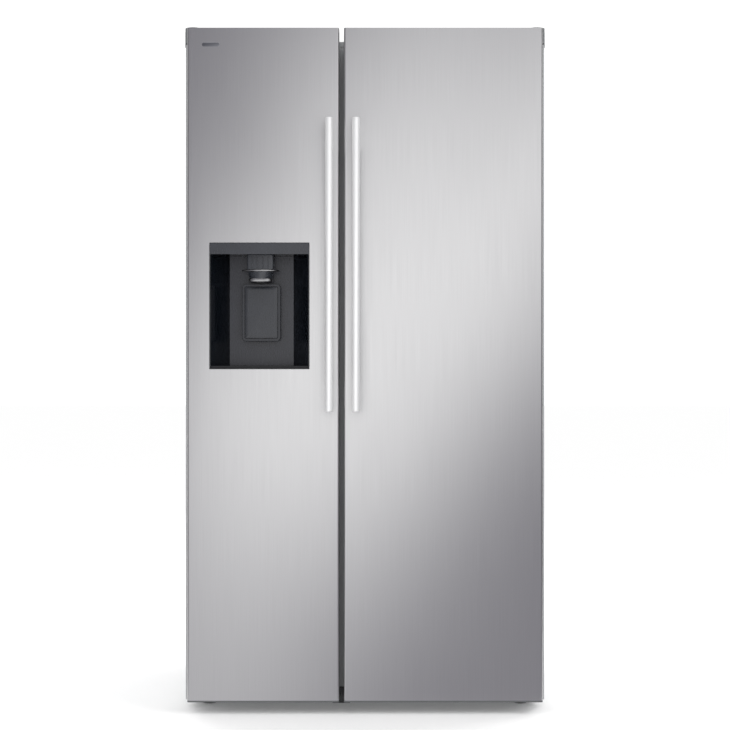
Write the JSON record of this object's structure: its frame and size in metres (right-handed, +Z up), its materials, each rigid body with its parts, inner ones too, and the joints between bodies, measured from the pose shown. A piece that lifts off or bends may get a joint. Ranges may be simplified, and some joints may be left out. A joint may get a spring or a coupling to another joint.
{
  "type": "side by side refrigerator",
  "caption": "Side by side refrigerator with a narrow freezer door and wide fridge door, long bar handles and an ice and water dispenser.",
  "frame": {"origin": "on the floor, below the middle of the whole object's box", "axes": "+Z up, doors face -Y, freezer door on the -X side"},
  "size_m": [0.912, 0.735, 1.714],
  "materials": {
    "stainless_door": "brushed",
    "satin_bar": "satin",
    "painted_case": "satin",
    "zinc_plate": "satin",
    "dark_plastic": "satin",
    "gloss_black": "gloss",
    "grey_gloss": "gloss",
    "chrome_trim": "polished",
    "white_liner": "satin",
    "foam": "matte",
    "gasket_rubber": "matte",
    "black_enamel": "satin",
    "copper_tube": "satin",
    "bare_aluminium": "satin",
    "clear_plastic": "gloss"
  },
  "bodies": {
    "cabinet": {"outer_case": "painted_case", "rear_panel": "zinc_plate", "cabinet_insulation": "foam", "freezer_liner": "white_liner", "fridge_liner": "white_liner", "mullion_cover": "dark_plastic", "base_frame": "zinc_plate", "top_hinge_left": "zinc_plate", "top_hinge_right": "zinc_plate", "hinge_cover_left": "dark_plastic", "hinge_cover_right": "dark_plastic", "bottom_hinge_left": "zinc_plate", "bottom_hinge_right": "zinc_plate", "compressor": "black_enamel", "condenser_coil": "copper_tube", "compressor_cover": "zinc_plate", "power_inlet": "gloss_black", "evaporator": "bare_aluminium", "freezer_air_panel": "white_liner", "ice_maker": "white_liner", "ice_bin": "clear_plastic", "freezer_shelf": "clear_plastic", "fridge_shelf_upper": "clear_plastic", "fridge_shelf_middle": "clear_plastic", "fridge_shelf_lower": "clear_plastic", "crisper_cover": "clear_plastic"},
    "freezer_door": {"freezer_door_skin": "stainless_door", "freezer_door_core": "white_liner", "freezer_gasket": "gasket_rubber", "dispenser_housing": "gloss_black", "dispenser_panel": "grey_gloss", "dispenser_chute": "chrome_trim", "freezer_bin_upper": "clear_plastic", "freezer_bin_lower": "clear_plastic", "freezer_handle_bar": "satin_bar", "freezer_handle_mount_top": "satin_bar", "freezer_handle_mount_bottom": "satin_bar"},
    "fridge_door": {"fridge_door_skin": "stainless_door", "fridge_door_core": "white_liner", "fridge_gasket": "gasket_rubber", "fridge_bin_upper": "clear_plastic", "fridge_bin_middle": "clear_plastic", "fridge_bin_lower": "clear_plastic", "fridge_handle_bar": "satin_bar", "fridge_handle_mount_top": "satin_bar", "fridge_handle_mount_bottom": "satin_bar"},
    "paddle": {"dispenser_paddle": "grey_gloss"},
    "flap": {"ice_flap": "dark_plastic"},
    "tray": {"drip_tray": "gloss_black"},
    "freezer_drawer_upper": {"freezer_drawer_upper": "clear_plastic"},
    "freezer_drawer_lower": {"freezer_drawer_lower": "clear_plastic"},
    "crisper_upper": {"crisper_upper": "clear_plastic"},
    "crisper_lower": {"crisper_lower": "clear_plastic"},
    "auger": {"ice_auger": "bare_aluminium"},
    "evaporator_fan": {"evaporator_fan": "dark_plastic"},
    "condenser_fan": {"condenser_fan": "dark_plastic"},
    "roller_left": {"rear_roller_left": "dark_plastic"},
    "roller_right": {"rear_roller_right": "dark_plastic"},
    "foot_left": {"front_foot_left": "black_enamel"},
    "foot_right": {"front_foot_right": "black_enamel"}
  },
  "joints": [
    {"name": "freezer_door_hinge", "type": "hinge", "parent": "cabinet", "child": "freezer_door", "pos_m": [-0.43, -0.275, 0], "axis": [0, 0, -1], "range_deg": [0, 120]},
    {"name": "fridge_door_hinge", "type": "hinge", "parent": "cabinet", "child": "fridge_door", "pos_m": [0.43, -0.275, 0], "axis": [0, 0, 1], "range_deg": [0, 120]},
    {"name": "paddle_press", "type": "hinge", "parent": "freezer_door", "child": "paddle", "pos_m": [-0.2625, -0.236, 1.073], "axis": [1, 0, 0], "range_deg": [0, 6], "stiffness_Nm_per_rad": 2},
    {"name": "ice_flap_swing", "type": "hinge", "parent": "freezer_door", "child": "flap", "pos_m": [-0.2625, -0.241, 1.138], "axis": [1, 0, 0], "range_deg": [0, 60]},
    {"name": "drip_tray_slide", "type": "slide", "parent": "freezer_door", "child": "tray", "axis": [0, -1, 0], "range_m": [0, 0.06]},
    {"name": "freezer_drawer_upper_slide", "type": "slide", "parent": "cabinet", "child": "freezer_drawer_upper", "axis": [0, -1, 0], "range_m": [0, 0.189]},
    {"name": "freezer_drawer_lower_slide", "type": "slide", "parent": "cabinet", "child": "freezer_drawer_lower", "axis": [0, -1, 0], "range_m": [0, 0.147]},
    {"name": "crisper_upper_slide", "type": "slide", "parent": "cabinet", "child": "crisper_upper", "axis": [0, -1, 0], "range_m": [0, 0.189]},
    {"name": "crisper_lower_slide", "type": "slide", "parent": "cabinet", "child": "crisper_lower", "axis": [0, -1, 0], "range_m": [0, 0.147]},
    {"name": "ice_auger_spin", "type": "hinge", "parent": "cabinet", "child": "auger", "pos_m": [-0.2625, 0, 1.307], "axis": [0, 1, 0], "continuous": true},
    {"name": "evaporator_fan_spin", "type": "hinge", "parent": "cabinet", "child": "evaporator_fan", "pos_m": [-0.2415, 0.268, 1.15], "axis": [0, 1, 0], "continuous": true},
    {"name": "condenser_fan_spin", "type": "hinge", "parent": "cabinet", "child": "condenser_fan", "pos_m": [-0.03, 0.238, 0.16], "axis": [1, 0, 0], "continuous": true},
    {"name": "roller_left_spin", "type": "hinge", "parent": "cabinet", "child": "roller_left", "pos_m": [-0.38, 0.3, 0.021], "axis": [1, 0, 0], "continuous": true},
    {"name": "roller_right_spin", "type": "hinge", "parent": "cabinet", "child": "roller_right", "pos_m": [0.38, 0.3, 0.021], "axis": [1, 0, 0], "continuous": true},
    {"name": "foot_left_level", "type": "slide", "parent": "cabinet", "child": "foot_left", "axis": [0, 0, -1], "range_m": [0, 0.012]},
    {"name": "foot_right_level", "type": "slide", "parent": "cabinet", "child": "foot_right", "axis": [0, 0, -1], "range_m": [0, 0.012]}
  ],
  "couplings": [
    {"joint": "ice_flap_swing", "follows": "paddle_press", "ratio": 10},
    {"joint": "freezer_drawer_upper_slide", "follows": "freezer_door_hinge", "m_per_rad": 0.09},
    {"joint": "freezer_drawer_lower_slide", "follows": "freezer_door_hinge", "m_per_rad": 0.07},
    {"joint": "crisper_upper_slide", "follows": "fridge_door_hinge", "m_per_rad": 0.09},
    {"joint": "crisper_lower_slide", "follows": "fridge_door_hinge", "m_per_rad": 0.07}
  ]
}
